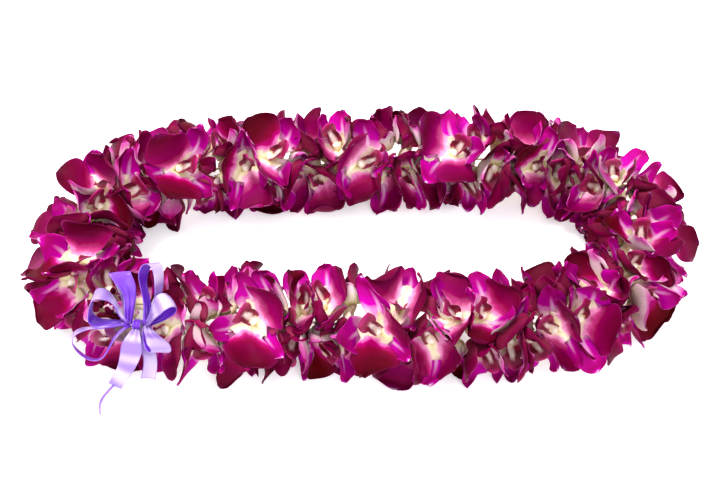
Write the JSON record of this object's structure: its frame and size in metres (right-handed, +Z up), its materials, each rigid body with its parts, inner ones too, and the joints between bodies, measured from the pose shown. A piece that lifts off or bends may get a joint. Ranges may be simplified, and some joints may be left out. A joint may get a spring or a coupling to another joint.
{
  "type": "fresh flower lei",
  "caption": "Closed garland of orchid blooms strung on one thread and laid in a long loop, with a looped satin ribbon bow tied to it.",
  "frame": {"origin": "centre of the bounding box in plan, on the table the lei lies on", "axes": "+X along the loop's long way, +Z up from the table"},
  "size_m": [0.466, 0.2534, 0.0838],
  "materials": {
    "orchid": "matt",
    "thread": "matt",
    "ribbon": "satin"
  },
  "bodies": {
    "root": {"bloom_01": "orchid", "bloom_02": "orchid", "bloom_03": "orchid", "bloom_04": "orchid", "bloom_05": "orchid", "bloom_06": "orchid", "bloom_07": "orchid", "bloom_08": "orchid", "bloom_09": "orchid", "bloom_10": "orchid", "bloom_11": "orchid", "bloom_12": "orchid", "bloom_13": "orchid", "bloom_14": "orchid", "bloom_15": "orchid", "bloom_16": "orchid", "bloom_17": "orchid", "bloom_18": "orchid", "bloom_19": "orchid", "bloom_20": "orchid", "bloom_21": "orchid", "bloom_22": "orchid", "bloom_23": "orchid", "bloom_24": "orchid", "bloom_25": "orchid", "bloom_26": "orchid", "bloom_27": "orchid", "bloom_28": "orchid", "bloom_29": "orchid", "bloom_30": "orchid", "bloom_31": "orchid", "bloom_32": "orchid", "bloom_33": "orchid", "bloom_34": "orchid", "bloom_35": "orchid", "bloom_36": "orchid", "bloom_37": "orchid", "bloom_38": "orchid", "bloom_39": "orchid", "bloom_40": "orchid", "bloom_41": "orchid", "bloom_42": "orchid", "bloom_43": "orchid", "bloom_44": "orchid", "bloom_45": "orchid", "bloom_46": "orchid", "bloom_47": "orchid", "bloom_48": "orchid", "bloom_49": "orchid", "bloom_50": "orchid", "bloom_51": "orchid", "bloom_52": "orchid", "bloom_53": "orchid", "bloom_54": "orchid", "bloom_55": "orchid", "bloom_56": "orchid", "thread": "thread", "ribbon_bow": "ribbon", "ribbon_tie": "ribbon"}
  },
  "joints": []
}
